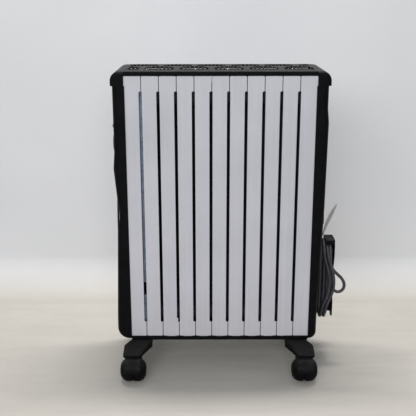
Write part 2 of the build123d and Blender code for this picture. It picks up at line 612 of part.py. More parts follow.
# ------------------------------------------------------------------ top and bottom covers
VENT_PITCH = 2 * PITCH
VENT_WIDTH = 59.0
VENT_DEPTH = 54.0
VENT_SIDE = 20.0
RIB_WIDTH = 1.7
RIB_COUNT = 7
VENT_LIMIT = SEAM_X - 6
VENT_FRONT_Y = -59.0        # straight edges of the front and the rear row of vents
VENT_REAR_Y = 3.0
VENT_CORNER_R = 5.0
RIB_FAN = 9.0               # the outermost ribs lean this many degrees


def crown_solid(height):
    """Everything below a gently arched surface that is highest along Y = 0."""
    radius = (BODY_Y ** 2 + CROWN ** 2) / (2 * CROWN)
    return rod(radius, (-SEAM_X - 10, 0, height - radius), (SEAM_X + 10, 0, height - radius))


def vent_cutter(x, y_front):
    """Arched opening crossed by fanned ribs."""
    half = VENT_WIDTH / 2
    shoulder = y_front + VENT_SIDE
    outline = [Line((x - half, shoulder), (x - half, y_front)), Line((x - half, y_front), (x + half, y_front)),
               Line((x + half, y_front), (x + half, shoulder)),
               ThreePointArc((x + half, shoulder), (x, y_front + VENT_DEPTH), (x - half, shoulder))]
    face = make_face(outline)
    face = fillet(face.vertices().group_by(Axis.Y)[0], VENT_CORNER_R)
    face &= Rectangle(2 * VENT_LIMIT, 4 * VENT_DEPTH)
    for step in range(RIB_COUNT):
        place = (step - (RIB_COUNT - 1) / 2) / ((RIB_COUNT - 1) / 2)
        rib_x = x + place * (half - VENT_WIDTH / (2 * RIB_COUNT + 2))
        rib = Rot(0, 0, -RIB_FAN * place) * Rectangle(RIB_WIDTH, 2 * VENT_DEPTH)
        face -= Pos(rib_x, y_front + VENT_DEPTH / 2) * rib
    return extrude(Pos(0, 0, COVER_TOP - 8) * face, 16)


cover_low = FIN_TOP + 0.5
cover_outer = span_box(-SEAM_X + COVER_GAP, SEAM_X - COVER_GAP, -BODY_Y, BODY_Y, cover_low,
                       COVER_TOP + CROWN + 1)
cover_outer &= crown_solid(COVER_TOP + CROWN)
front_rim = [edge for edge in cover_outer.edges().filter_by(Axis.X)
             if edge.center().Z > cover_low + 1]
cover_outer = fillet(front_rim, 2.0)
cover_inner = span_box(-SEAM_X - 5, SEAM_X + 5, -BODY_Y + SIDE_WALL, BODY_Y - SIDE_WALL, cover_low - 5,
                       COVER_TOP + CROWN)
cover_inner &= crown_solid(COVER_TOP + CROWN - WALL)
top_cover = cover_outer - cover_inner
for column in range(-3, 3):
    vent_x = PITCH / 2 + VENT_PITCH * column
    top_cover -= vent_cutter(vent_x, VENT_FRONT_Y)
    top_cover -= vent_cutter(-vent_x, VENT_REAR_Y)
save("top_cover", top_cover)

TRAY_FLOOR = 2.2
TRAY_TOP = FIN_BOTTOM - 0.4
WINDOW_Y = 36.0
WINDOW_WIDTH = 22.0
WINDOW_LENGTH = 60.0
WINDOW_CORNER_R = 4.0
bottom_cover = span_box(-PANEL_EDGE_X + COVER_GAP, PANEL_EDGE_X - COVER_GAP, -BODY_Y, BODY_Y,
                        CASING_BOTTOM, TRAY_TOP)
bottom_cover = fillet([edge for edge in bottom_cover.edges().filter_by(Axis.X)
                       if edge.center().Z < CASING_BOTTOM + 1], 2.0)
bottom_cover -= span_box(-PANEL_EDGE_X, PANEL_EDGE_X, -BODY_Y + SIDE_WALL, BODY_Y - SIDE_WALL,
                         CASING_BOTTOM + TRAY_FLOOR, FIN_BOTTOM + 1)
for number in range(2, FIN_COUNT):
    for window_y in (-WINDOW_Y, WINDOW_Y):
        window = RectangleRounded(WINDOW_WIDTH, WINDOW_LENGTH, WINDOW_CORNER_R)
        bottom_cover -= extrude(Pos(fin_left(number) + PITCH / 2, window_y, CASING_BOTTOM - 1) * window, 5)

# ------------------------------------------------------------------ feet
FOOT_TOP = CASING_BOTTOM
BAR_LOW = 61.0
PAD_LOW = 56.0
PAD_TOP = 67.0
BAR_HALF = 20.5
PAD_WIDTH = 39.0
PAD_DEPTH = 40.0
PAD_OFFSET = 2.0            # the pad stands this far outside its caster's stem
BOLT_Y = 55.0
BOLT_R = 3.0
BOLT_HOLE_R = 3.2
BOLT_FLATS = 10.0
BOLT_HEAD = 4.0
BOLT_TOP = 82.0
NUT_HEIGHT = 5.0


def foot_centres(side):
    """X of the bar and of the casters of one foot."""
    return FOOT_SHIFT_X + side * FOOT_HALF_SPAN, FOOT_SHIFT_X + side * CASTER_HALF_SPAN


def foot(side):
    """Cross foot: a bar under the body and an arm to a caster pad at each end."""
    bar_x, pad_x = foot_centres(side)
    shape = span_box(bar_x - BAR_HALF, bar_x + BAR_HALF, -FACE_Y, FACE_Y, BAR_LOW, FOOT_TOP)
    for end in (-1, 1):
        root = Pos(bar_x, end * (FACE_Y - 4)) * Rectangle(2 * BAR_HALF, 8)
        pad = Pos(pad_x + side * PAD_OFFSET, end * (STEM_Y - 1)) * RectangleRounded(PAD_WIDTH, PAD_DEPTH, 6)
        arm = extrude(Pos(0, 0, PAD_LOW) * make_hull(root.edges() + pad.edges()), FOOT_TOP - PAD_LOW)
        slope = degrees(atan2(FOOT_TOP - PAD_TOP, STEM_Y - 4 - BODY_Y))
        wedge = Pos(0, end * (BODY_Y + 0.5), FOOT_TOP) * Rot(end * -slope, 0, 0) * \
            Box(600, 200, 40, align=(Align.CENTER, Align.MIN if end > 0 else Align.MAX, Align.MIN))
        arm -= wedge
        arm_rim = [edge for edge in arm.edges() if edge.center().Z > PAD_LOW + 1
                   and abs(edge.center().Y) > BODY_Y + 6 and abs(edge.tangent_at(0.5).Z) < 0.9]
        arm = fillet(arm_rim, 2.0)
        shape += arm
        stem_y = end * STEM_Y
        shape -= rod(STEM_R + RUNNING, (pad_x, stem_y, PAD_LOW - 1), (pad_x, stem_y, STEM_TOP + 0.3))
    for bolt_y in (-BOLT_Y, BOLT_Y):
        shape -= rod(BOLT_HOLE_R, (bar_x, bolt_y, BAR_LOW - 1), (bar_x, bolt_y, FOOT_TOP + 1))
    return shape


save("foot_left", foot(-1))
save("foot_right", foot(1))

bolts = []
nuts = []
for side in (-1, 1):
    bar_x = foot_centres(side)[0]
    for bolt_y in (-BOLT_Y, BOLT_Y):
        bottom_cover -= rod(BOLT_HOLE_R, (bar_x, bolt_y, CASING_BOTTOM - 1), (bar_x, bolt_y, CASING_BOTTOM + 5))
        head = hexagon_rod(BOLT_FLATS, bar_x, bolt_y, BAR_LOW - BOLT_HEAD, BAR_LOW)
        bolts.append(head + rod(BOLT_R, (bar_x, bolt_y, BAR_LOW - 1), (bar_x, bolt_y, BOLT_TOP)))
        nut_seat = CASING_BOTTOM + TRAY_FLOOR
        nut = hexagon_rod(BOLT_FLATS, bar_x, bolt_y, nut_seat, nut_seat + NUT_HEIGHT)
        nuts.append(nut - rod(BOLT_R + 0.02, (bar_x, bolt_y, CASING_BOTTOM), (bar_x, bolt_y, BOLT_TOP + 5)))
save("bottom_cover", bottom_cover)
save("foot_fasteners", *bolts, *nuts)

# ------------------------------------------------------------------ casters
# Each is modelled with its stem at the origin and its wheels towards -Y.
HOOD_R = 29.5
HOOD_INNER_R = 26.4
HOOD_HALF_WIDTH = 17.0
TREAD_EDGE = 11.0           # where the flat tread ends and the domed side begins
RIM_R = 10.5
RIM_X = 27.6
HOOD_TOP = 55.0
HOOD_LOW = 29.0
WEB_HALF = 2.0
NECK_R = 21.0
STEM_START = 52.0
AXLE_HALF = 17.0
AXLE_BORE_END = 20.0        # blind end of the bore in each wheel
TREAD_BEVEL = 1.2
HOOD_RIBS = 5


def wheel_axis(radius, half_width):
    """Rod on the wheel axis."""
    return rod(radius, (-half_width, -TRAIL, WHEEL_R), (half_width, -TRAIL, WHEEL_R))


def caster_hood():
    """Swivelling hood: neck, curved fender with ribs and the web that carries the axle."""
    hood = wheel_axis(HOOD_R, HOOD_HALF_WIDTH)
    hood += rod(NECK_R, (0, 0, HOOD_LOW), (0, 0, HOOD_TOP))
    hood = hood & span_box(-HOOD_HALF_WIDTH - 1, HOOD_HALF_WIDTH + 1, -60, 60, HOOD_LOW, HOOD_TOP)
    hood -= wheel_axis(HOOD_INNER_R, 40)
    web = wheel_axis(HOOD_INNER_R + 1, WEB_HALF) & span_box(-5, 5, -60, 60, 12, HOOD_TOP - 1)
    hood += web
    for step in range(HOOD_RIBS):
        angle = 20 + 13 * step
        rib = Pos(0, -TRAIL, WHEEL_R) * Rot(-angle, 0, 0) * Pos(0, -HOOD_R, 0) * Box(14, 2.0, 2.4)
        hood += rib
    hood -= wheel_axis(AXLE_R, 10)
    hood -= rod(STEM_R, (0, 0, STEM_START), (0, 0, HOOD_TOP + 5))
    return hood


def caster_pins():
    """Stem pressed into the hood and axle pressed through the web."""
    stem = rod(STEM_R, (0, 0, STEM_START), (0, 0, STEM_TOP))
    axle = wheel_axis(AXLE_R, AXLE_HALF)
    return stem, axle


def caster_wheel():
    """Barrel-shaped half wheel with a dished hub, turning on the axle."""
    inner = WEB_HALF + 0.6
    face_x = RIM_X - TREAD_BEVEL
    points = [(0, inner), (WHEEL_R - TREAD_BEVEL, inner), (WHEEL_R, inner + TREAD_BEVEL), (WHEEL_R, TREAD_EDGE)]
    tread = Polyline(*points)
    side = ThreePointArc((WHEEL_R, TREAD_EDGE), (21.2, 20.8), (RIM_R, RIM_X))
    rim = Line((RIM_R, RIM_X), (RIM_R - TREAD_BEVEL, face_x))
    hub = Line((RIM_R - TREAD_BEVEL, face_x), (0, face_x))
    middle = Line((0, face_x), (0, inner))
    profile = make_face([*tread.edges(), side, rim, hub, middle])
    wheel = revolve(Plane.XZ * profile, Axis.Z)
    bore = Cylinder(AXLE_R + RUNNING, AXLE_BORE_END - inner, align=(Align.CENTER, Align.CENTER, Align.MIN))
    wheel -= Pos(0, 0, inner - 1) * bore
    return Pos(0, -TRAIL, WHEEL_R) * Rot(0, 90, 0) * wheel


hood_template = caster_hood()
pins_template = caster_pins()
wheel_right = caster_wheel()
wheel_left = mirror(wheel_right, about=Plane.YZ)
for place, side, end in (("front_left", -1, 1), ("front_right", 1, 1),
                         ("rear_left", -1, -1), ("rear_right", 1, -1)):
    pad_x = foot_centres(side)[1]
    location = Pos(pad_x, -end * STEM_Y, 0) * Rot(0, 0, 0 if end > 0 else 180)
    save(f"caster_hood_{place}", location * hood_template)
    save(f"caster_pins_{place}", *[location * pin for pin in pins_template])
    save(f"caster_wheels_{place}", location * wheel_right, location * wheel_left)

# ------------------------------------------------------------------ cord winder
FLANGE_LOW = 104.0
FLANGE_HIGH = 279.5
LIP_HIGH = 287.0            # hooked lip over the cord at the top of the flange
LIP_REACH = 17.0
LIP_CLEAR_R = 33.0
SADDLE_WALL = 3.0
ANCHOR_X = 205.0            # inner ends of the winder's parts, trimmed to the casing
WIDE = 24.0                 # half widths of the flange at its ends and at its waist
NARROW = 13.0
SHOULDER = 34.0
NOTCH_R = 7.0               # notch that holds the end of the cord
OUTLET_HALF = 9.0
OUTLET_DEPTH = 6.2          # of the outlet hood past the cord's centre
OUTLET_BELOW = 14.0
OUTLET_ABOVE = 11.0
LUG_HALF = 12.0
SCREW_HOLE_R = 2.2


def saddle(z, upward):
    """Half ring that the cord turns over."""
    ring = rod(SADDLE_R, (ANCHOR_X, 0, z), (FLANGE_X + 1, 0, z))
    ring -= rod(SADDLE_R - SADDLE_WALL, (ANCHOR_X - 1, 0, z), (FLANGE_X + 2, 0, z))
    low, high = (z - 4, z + 40) if upward else (z - 40, z + 4)
    return ring & span_box(ANCHOR_X - 5, FLANGE_X + 5, -30, 30, low, high)


def fixing_lug(out_x, low, high):
    """Lug with a screw hole that fixes the winder to the casing."""
    middle = (low + high) / 2
    lug = span_box(ANCHOR_X, out_x, -LUG_HALF, LUG_HALF, low, high)
    return lug - rod(SCREW_HOLE_R, (ANCHOR_X - 5, 0, middle), (out_x + 8, 0, middle))


def cord_winder():
    """Two saddles joined by a waisted flange with a hooked lip, and lugs that fix it to the casing."""
    high_waist = FLANGE_HIGH - 2 * SHOULDER
    low_waist = FLANGE_LOW + 2 * SHOULDER
    half = [(WIDE, FLANGE_LOW), (WIDE, FLANGE_LOW + SHOULDER), (NARROW, low_waist), (NARROW, high_waist),
            (WIDE, FLANGE_HIGH - SHOULDER), (WIDE, FLANGE_HIGH)]
    points = half + [(-y, z) for y, z in reversed(half)]
    edge = FilletPolyline(*points, radius=6, close=True)
    flange_plane = Plane(origin=(FLANGE_X, 0, 0), x_dir=(0, 1, 0), z_dir=(1, 0, 0))
    flange = extrude(flange_plane * make_face(edge.edges()), FLANGE_THICK)
    flange -= rod(NOTCH_R, (FLANGE_X - 1, 0, FLANGE_LOW), (FLANGE_X + FLANGE_THICK + 1, 0, FLANGE_LOW))
    lip = span_box(FLANGE_X - LIP_REACH, FLANGE_X + FLANGE_THICK, -WIDE + 2, WIDE - 2,
                   FLANGE_HIGH - 6, LIP_HIGH)
    lip = fillet(lip.edges().filter_by(Axis.X).group_by(Axis.Z)[-1], 3.0)
    lip -= rod(LIP_CLEAR_R, (ANCHOR_X, 0, SADDLE_HIGH), (FLANGE_X, 0, SADDLE_HIGH))
    winder = flange + lip + saddle(SADDLE_HIGH, True) + saddle(SADDLE_LOW, False)
    winder += fixing_lug(222.3, 288, 312)
    winder += fixing_lug(219, 79, 94)
    winder += span_box(ANCHOR_X, HANK_X0 - 0.3, -2, 2, SADDLE_HIGH + SADDLE_R - 2, 290)
    winder += span_box(ANCHOR_X, 220, -2, 2, 90, SADDLE_LOW - SADDLE_R + 2)
    return winder - winder_outer


def cord_outlet():
    """Small hood on the casing that the strain relief hangs from."""
    hood = span_box(ANCHOR_X, OUTLET_X + OUTLET_DEPTH, -OUTLET_HALF, OUTLET_HALF,
                    OUTLET_Z - OUTLET_BELOW, OUTLET_Z + OUTLET_ABOVE)
    hood = fillet(hood.edges().group_by(Axis.X)[-1], 3.5)
    hood -= rod(RELIEF_TOP_R + 0.15, (OUTLET_X, 0, RELIEF_BOTTOM), (OUTLET_X, 0, RELIEF_TOP + 1))
    hood -= rod(OUTLET_BORE_R, (ANCHOR_X - 1, 0, OUTLET_Z), (OUTLET_X, 0, OUTLET_Z))
    return hood - winder_outer


save("cord_winder", cord_winder())
save("cord_outlet", cord_outlet())

# ------------------------------------------------------------------ strain relief, cord and plug
CORD_GRIP = 6.0             # the cord runs this far up into the strain relief
relief = Pos(OUTLET_X, 0, (RELIEF_TOP + RELIEF_BOTTOM) / 2) * \
    Cone(RELIEF_BOTTOM_R, RELIEF_TOP_R, RELIEF_TOP - RELIEF_BOTTOM)
relief -= rod(CORD_D / 2, (OUTLET_X, 0, RELIEF_BOTTOM - 1), (OUTLET_X, 0, RELIEF_BOTTOM + CORD_GRIP))
save("strain_relief", relief)

cord_tube("cord_lead", [(OUTLET_X, 0, RELIEF_BOTTOM + CORD_GRIP), (OUTLET_X, 0, 290), (OUTLET_X, -6.5, 279),
                        (OUTLET_X, -16.5, 269.5), (OUTLET_X, -23, 258), (OUTLET_X, -23.5, 245)])


def hank_form(radius, x0, x1):
    """Stadium-shaped block round both saddles."""
    block = rod(radius, (x0, 0, SADDLE_HIGH), (x1, 0, SADDLE_HIGH)) + \
        rod(radius, (x0, 0, SADDLE_LOW), (x1, 0, SADDLE_LOW))
    return block + span_box(x0, x1, -radius, radius, SADDLE_LOW, SADDLE_HIGH)


HANK_OUTER_R = TURN_R + 1.5 * CORD_D
hank = hank_form(HANK_OUTER_R, HANK_X0, HANK_X1) - hank_form(SADDLE_R + 0.3, HANK_X0 - 1, HANK_X1 + 1)
print("hank volume", round(hank.volume))
save("cord_hank", hank)

cord_tube("cord_loop", [(247, -23, 245), (248.5, -25, 232), (254, -28, 220), (264, -30, 210), (274, -31, 201),
                        (281, -31.5, 189), (280.5, -31.5, 176), (273, -31, 168), (263, -30, 167),
                        (255, -29, 175), (251, -28.6, 189)])

PLUG_X = 239.0
PLUG_Y = 51.0
PLUG_TOP = 194.0
PLUG_BODY_R = 18.5
PLUG_FACE = PLUG_TOP - 52.0
BOOT_LOW = PLUG_TOP - 23.0
cord_tube("cord_tail", [(PLUG_X, 27, 256), (PLUG_X, 37, 245), (PLUG_X, 45, 231), (PLUG_X, 49.5, 216),
                        (PLUG_X, PLUG_Y, PLUG_TOP + 6)])

boot = Pos(PLUG_X, PLUG_Y, BOOT_LOW + 15) * Cone(8.5, 5.0, 30)
boot -= rod(CORD_D / 2, (PLUG_X, PLUG_Y, PLUG_TOP - 2), (PLUG_X, PLUG_Y, PLUG_TOP + 8))
plug_body = rod(PLUG_BODY_R, (PLUG_X, PLUG_Y, PLUG_FACE), (PLUG_X, PLUG_Y, PLUG_FACE + 30))
plug_body = fillet(plug_body.edges().sort_by(Axis.Z)[-1], 8.0)
PIN_R = 2.4
PIN_LENGTH = 19.0
PIN_SPACING = 19.0
plug = plug_body + boot
for pin_y in (PLUG_Y - PIN_SPACING / 2, PLUG_Y + PIN_SPACING / 2):
    plug += rod(PIN_R, (PLUG_X, pin_y, PLUG_FACE + 1), (PLUG_X, pin_y, PLUG_FACE - PIN_LENGTH))
save("plug", plug)

TAG_THICK = 0.8
TAG_Y = 36.0
TAG_WIDTH = 30.0
TAG_POINTS = [(232.6, 287), (240, 307), (251, 333), (266.5, 361)]
tag_curve = Spline(TAG_POINTS)
tag_inner = Spline([(x + TAG_THICK, z) for x, z in TAG_POINTS])
tag_face = make_face([tag_curve, Line(tag_curve @ 1, tag_inner @ 1), tag_inner,
                      Line(tag_inner @ 0, tag_curve @ 0)])
cord_tag = extrude(Plane(origin=(0, TAG_Y, 0), x_dir=(1, 0, 0), z_dir=(0, -1, 0)) * tag_face, TAG_WIDTH)
save("cord_tag", cord_tag)

# ------------------------------------------------------------------ screws on the rear of the casings
SCREW_HEAD_R = 3.6
SCREW_HEAD = 1.8
SCREW_X = 207.0
screws = []
for side in (-1, 1):
    for screw_z in (130, 350, 590):
        head = rod(SCREW_HEAD_R, (side * SCREW_X, BODY_Y, screw_z),
                   (side * SCREW_X, BODY_Y + SCREW_HEAD, screw_z))
        screws.append(fillet(head.edges().sort_by(Axis.Y)[-1], SCREW_HEAD / 2))
save("cover_screws", *screws)
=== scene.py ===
import bpy
import bmesh
import json
import math
from mathutils import Matrix, Vector


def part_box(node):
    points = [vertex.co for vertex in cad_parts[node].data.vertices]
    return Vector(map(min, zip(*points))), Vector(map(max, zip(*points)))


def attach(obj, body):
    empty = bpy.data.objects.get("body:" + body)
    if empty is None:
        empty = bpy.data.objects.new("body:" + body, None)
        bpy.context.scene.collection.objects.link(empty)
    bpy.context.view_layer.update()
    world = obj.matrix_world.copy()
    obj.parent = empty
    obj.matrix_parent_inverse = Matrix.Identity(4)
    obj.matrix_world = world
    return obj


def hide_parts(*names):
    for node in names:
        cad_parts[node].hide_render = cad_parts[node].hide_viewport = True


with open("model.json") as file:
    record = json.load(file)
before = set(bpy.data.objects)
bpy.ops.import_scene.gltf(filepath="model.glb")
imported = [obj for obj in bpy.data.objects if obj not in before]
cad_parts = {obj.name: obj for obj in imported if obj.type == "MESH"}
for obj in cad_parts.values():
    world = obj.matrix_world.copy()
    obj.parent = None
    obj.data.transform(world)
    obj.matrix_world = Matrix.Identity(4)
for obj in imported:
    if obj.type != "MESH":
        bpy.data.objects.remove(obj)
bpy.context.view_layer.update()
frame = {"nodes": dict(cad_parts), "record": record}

NODES = frame["nodes"]
ORIGIN_X = 14.8          # the row's origin, from the middle of the slats, in mm


def place(x, y, z):
    """Millimetres from the middle of the slats to metres in the row frame."""
    return Vector(((x - ORIGIN_X) / 1000, y / 1000, z / 1000))


def add_object(name, data):
    """New object in the scene, holding the given data."""
    made = bpy.data.objects.new(name, data)
    bpy.context.scene.collection.objects.link(made)
    return made


# ------------------------------------------------------- camera
CAMERA_DOWN = 16.03      # degrees below level
CAMERA_ROLL = 0.06
camera_data = bpy.data.cameras.new("camera")
camera_data.sensor_width = 36.0
camera_data.lens = 64.38
camera = add_object("camera", camera_data)
camera.location = place(-25.5, -1595.6, 814.5)
camera.rotation_euler = (math.radians(90 - CAMERA_DOWN), math.radians(CAMERA_ROLL), 0)
bpy.context.scene.camera = camera


# ------------------------------------------------------- material tools
class Nodes:
    """Short calls for building one material's node tree, in object space metres."""

    def __init__(self, name):
        self.material = bpy.data.materials.new(name)
        self.material.use_nodes = True
        self.tree = self.material.node_tree
        self.shader = self.tree.nodes["Principled BSDF"]
        self.where = self.tree.nodes.new("ShaderNodeTexCoord").outputs["Object"]

    def link(self, a, b):
        self.tree.links.new(a, b)

    def scaled(self, x, y, z):
        node = self.tree.nodes.new("ShaderNodeMapping")
        node.inputs["Scale"].default_value = (x, y, z)
        self.link(self.where, node.inputs["Vector"])
        return node.outputs["Vector"]

    def noise(self, scale, detail=4.0, rough=0.5, vector=None, distortion=0.0):
        node = self.tree.nodes.new("ShaderNodeTexNoise")
        node.inputs["Scale"].default_value = scale
        node.inputs["Detail"].default_value = detail
        node.inputs["Roughness"].default_value = rough
        node.inputs["Distortion"].default_value = distortion
        self.link(vector or self.where, node.inputs["Vector"])
        return node.outputs["Fac"]

    def cells(self, scale, feature="F1", output="Distance"):
        node = self.tree.nodes.new("ShaderNodeTexVoronoi")
        node.feature = feature
        node.inputs["Scale"].default_value = scale
        self.link(self.where, node.inputs["Vector"])
        return node.outputs[output]

    def span(self, value, low, high, to_low, to_high):
        node = self.tree.nodes.new("ShaderNodeMapRange")
        limits = {"From Min": low, "From Max": high, "To Min": to_low, "To Max": to_high}
        for name, number in limits.items():
            node.inputs[name].default_value = number
        self.link(value, node.inputs["Value"])
        return node.outputs["Result"]

    def math(self, kind, a, b):
        node = self.tree.nodes.new("ShaderNodeMath")
        node.operation = kind
        for socket, value in zip(node.inputs, (a, b)):
            if isinstance(value, (int, float)):
                socket.default_value = value
            else:
                self.link(value, socket)
        return node.outputs["Value"]

    def part_of(self, vector, letter):
        """One of a vector's three parts."""
        node = self.tree.nodes.new("ShaderNodeSeparateXYZ")
        self.link(vector, node.inputs["Vector"])
        return node.outputs[letter]

    def axis(self, letter):
        return self.part_of(self.where, letter)

    def normal(self, letter):
        return self.part_of(self.tree.nodes.new("ShaderNodeNewGeometry").outputs["Normal"], letter)

    def up(self):
        """How far a surface faces up, 0 to 1."""
        return self.span(self.normal("Z"), 0.3, 1.0, 0.0, 1.0)

    def mix(self, factor, a, b):
        node = self.tree.nodes.new("ShaderNodeMix")
        node.data_type = "RGBA"
        self.link(factor, node.inputs[0])
        for socket, value in ((node.inputs[6], a), (node.inputs[7], b)):
            if isinstance(value, tuple):
                socket.default_value = (*value, 1.0)
            else:
                self.link(value, socket)
        return node.outputs[2]

    def bump(self, height, strength, distance, under=None):
        node = self.tree.nodes.new("ShaderNodeBump")
        node.inputs["Strength"].default_value = strength
        node.inputs["Distance"].default_value = distance
        self.link(height, node.inputs["Height"])
        if under:
            self.link(under, node.inputs["Normal"])
        return node.outputs["Normal"]

    def set(self, **values):
        for name, value in values.items():
            socket = self.shader.inputs[name.replace("_", " ")]
            if isinstance(value, (int, float)):
                socket.default_value = value
            else:
                self.link(value, socket)
        return self.material


# ------------------------------------------------------- materials
SLAT_FACE_Y = 0.0795     # the slats' outer faces, from the middle
SLAT_DARK = (0.430, 0.434, 0.478)
SLAT_LIGHT = (0.495, 0.499, 0.545)
SLAT_STREAK = (0.530, 0.534, 0.574)
SLAT_DUST = (0.42, 0.40, 0.37)
SLAT_FLECK = (0.30, 0.30, 0.33)
SLOT_EDGE_PAINTED_SHADE = (0.070, 0.085, 0.115)      # painted shade: tones that the enamel is darkened to, deeper and deeper in a slot, in place of the slot's own shade
SLOT_DEEP_PAINTED_SHADE = (0.006, 0.007, 0.009)
# painted shade for the faces that look inwards, behind the outer faces
SLAT_INSIDE_PAINTED_SHADE = (0.012, 0.013, 0.016)
SETTLED_DUST = (0.12, 0.117, 0.113)


def enamel():
    """Baked pale enamel with faint orange peel, drawing streaks and dust, and painted shade in the slots and
    on the faces that look inwards behind the outer faces.
    """
    n = Nodes("slat_enamel_look")
    cloud = n.noise(9.0, 3.0)
    streak = n.noise(1.0, 5.0, 0.6, n.scaled(260, 260, 2.2))
    haze = n.noise(26.0, 6.0, 0.62, distortion=0.6)
    fleck = n.noise(1500.0, 2.0)
    tone = n.mix(n.span(cloud, 0.3, 0.7, 0.0, 1.0), SLAT_DARK, SLAT_LIGHT)
    tone = n.mix(n.span(streak, 0.35, 0.68, 0.0, 0.5), tone, SLAT_STREAK)
    low_dust = n.span(n.axis("Z"), 0.08, 0.20, 0.35, 0.0)
    tone = n.mix(n.math("MULTIPLY", low_dust, haze), tone, SLAT_DUST)
    tone = n.mix(n.span(fleck, 0.70, 0.78, 0.0, 0.30), tone, SLAT_FLECK)
    depth = n.math("SUBTRACT", SLAT_FACE_Y, n.math("ABSOLUTE", n.axis("Y"), 0.0))
    # painted shade: the enamel turns dark blue-grey just inside a slot and near black deeper in
    tone = n.mix(n.span(depth, 0.0, 0.0015, 0.0, 1.0), tone, SLOT_EDGE_PAINTED_SHADE)
    tone = n.mix(n.span(depth, 0.003, 0.030, 0.0, 1.0), tone, SLOT_DEEP_PAINTED_SHADE)
    outward = n.math("MULTIPLY", n.normal("Y"), n.axis("Y"))     # below 0 where a face looks inwards
    # painted shade: faces that look inwards are darkened to near black
    tone = n.mix(n.span(outward, -0.02, -0.005, 1.0, 0.0), tone, SLAT_INSIDE_PAINTED_SHADE)
    rough = n.math("ADD", n.span(haze, 0.3, 0.7, 0.30, 0.43), n.span(depth, 0.001, 0.010, 0.0, 0.5))
    peel = n.bump(n.noise(420.0, 2.0), 0.10, 0.0004)
    wave = n.bump(n.noise(1.0, 2.0, 0.5, n.scaled(34, 34, 5)), 0.25, 0.0012, peel)
    return n.set(Base_Color=tone, Roughness=rough, Normal=wave, Specular_IOR_Level=0.4)


def moulded(name, dark, light, rough_low, rough_high, grain, dust=0.3, worn=None):
    """Moulded plastic: spark-eroded grain, soft mottling, dust on what faces up and paler rubbed patches."""
    n = Nodes(name)
    mottle = n.noise(38.0, 4.0)
    tone = n.mix(n.span(mottle, 0.3, 0.7, 0.0, 1.0), dark, light)
    speck = n.noise(620.0, 2.0, 0.6)
    settled = n.math("MULTIPLY", n.up(), n.span(speck, 0.45, 0.75, 0.05, dust))
    tone = n.mix(settled, tone, SETTLED_DUST)
    rub = n.noise(70.0, 6.0, 0.7, distortion=1.2)
    tone = n.mix(n.span(rub, 0.62, 0.75, 0.0, 0.35), tone, worn or tuple(3 * c for c in light))
    rough = n.span(n.noise(90.0, 5.0, 0.6), 0.3, 0.7, rough_low, rough_high)
    pits = n.bump(n.cells(grain, "SMOOTH_F1"), 0.30, 0.00010)
    soft = n.bump(n.noise(60.0, 2.0), 0.06, 0.0012, pits)
    return n.set(Base_Color=tone, Roughness=rough, Normal=soft, Specular_IOR_Level=0.06)


def galvanised():
    """Zinc coated sheet with its crystal spangle."""
    n = Nodes("galvanised_look")
    flake = n.cells(170.0, output="Color")
    gray = n.tree.nodes.new("ShaderNodeRGBToBW")
    n.link(flake, gray.inputs[0])
    tone = n.mix(gray.outputs[0], (0.10, 0.13, 0.18), (0.21, 0.25, 0.32))
    stain = n.noise(30.0, 5.0, 0.6)
    tone = n.mix(n.span(stain, 0.5, 0.75, 0.0, 0.5), tone, (0.06, 0.075, 0.10))
    rough = n.span(gray.outputs[0], 0.0, 1.0, 0.32, 0.55)
    spangle = n.bump(gray.outputs[0], 0.15, 0.0002)
    return n.set(Base_Color=tone, Metallic=0.75, Roughness=rough, Normal=spangle)


def bright(name, low, high, rough=0.32):
    """Plated or drawn metal with fine scratches and slight tarnish."""
    n = Nodes(name)
    scratch = n.noise(1.0, 4.0, 0.7, n.scaled(900, 120, 900))
    tone = n.mix(n.span(n.noise(120.0, 4.0), 0.35, 0.7, 0.0, 1.0), low, high)
    worn = n.span(scratch, 0.3, 0.7, rough - 0.1, rough + 0.15)
    return n.set(Base_Color=tone, Metallic=1.0, Roughness=worn, Normal=n.bump(scratch, 0.12, 0.00008))


def jacket():
    """Soft cord jacket: dull, faintly ribbed by the cores below it, with pale scuffs."""
    n = Nodes("cord_jacket_look")
    tone = n.mix(n.span(n.noise(60.0, 5.0), 0.3, 0.7, 0.0, 1.0), (0.022, 0.022, 0.027), (0.044, 0.044, 0.052))
    scuff = n.noise(240.0, 5.0, 0.7, distortion=1.5)
    tone = n.mix(n.span(scuff, 0.60, 0.74, 0.0, 0.55), tone, (0.12, 0.12, 0.13))
    rough = n.span(n.noise(150.0, 4.0), 0.3, 0.7, 0.42, 0.62)
    lay = n.bump(n.noise(1.0, 1.0, 0.4, n.scaled(300, 300, 60)), 0.25, 0.0005)
    fine = n.bump(n.noise(2600.0, 2.0), 0.2, 0.00006, lay)
    return n.set(Base_Color=tone, Roughness=rough, Normal=fine)


def card():
    """Coated card of a blank hang tag, mottled, with soft creases."""
    n = Nodes("tag_card_look")
    tone = n.mix(n.span(n.noise(90.0, 5.0), 0.3, 0.7, 0.0, 1.0), (0.24, 0.25, 0.25), (0.36, 0.37, 0.37))
    fibre = n.noise(1.0, 5.0, 0.7, n.scaled(900, 900, 260))
    tone = n.mix(n.span(fibre, 0.55, 0.75, 0.0, 0.4), tone, (0.46, 0.46, 0.45))
    crease = n.bump(n.noise(60.0, 2.0, 0.4, distortion=0.5), 0.30, 0.0008)
    return n.set(Base_Color=tone, Roughness=n.span(fibre, 0.3, 0.7, 0.32, 0.55),
                 Normal=n.bump(fibre, 0.15, 0.00006, crease))


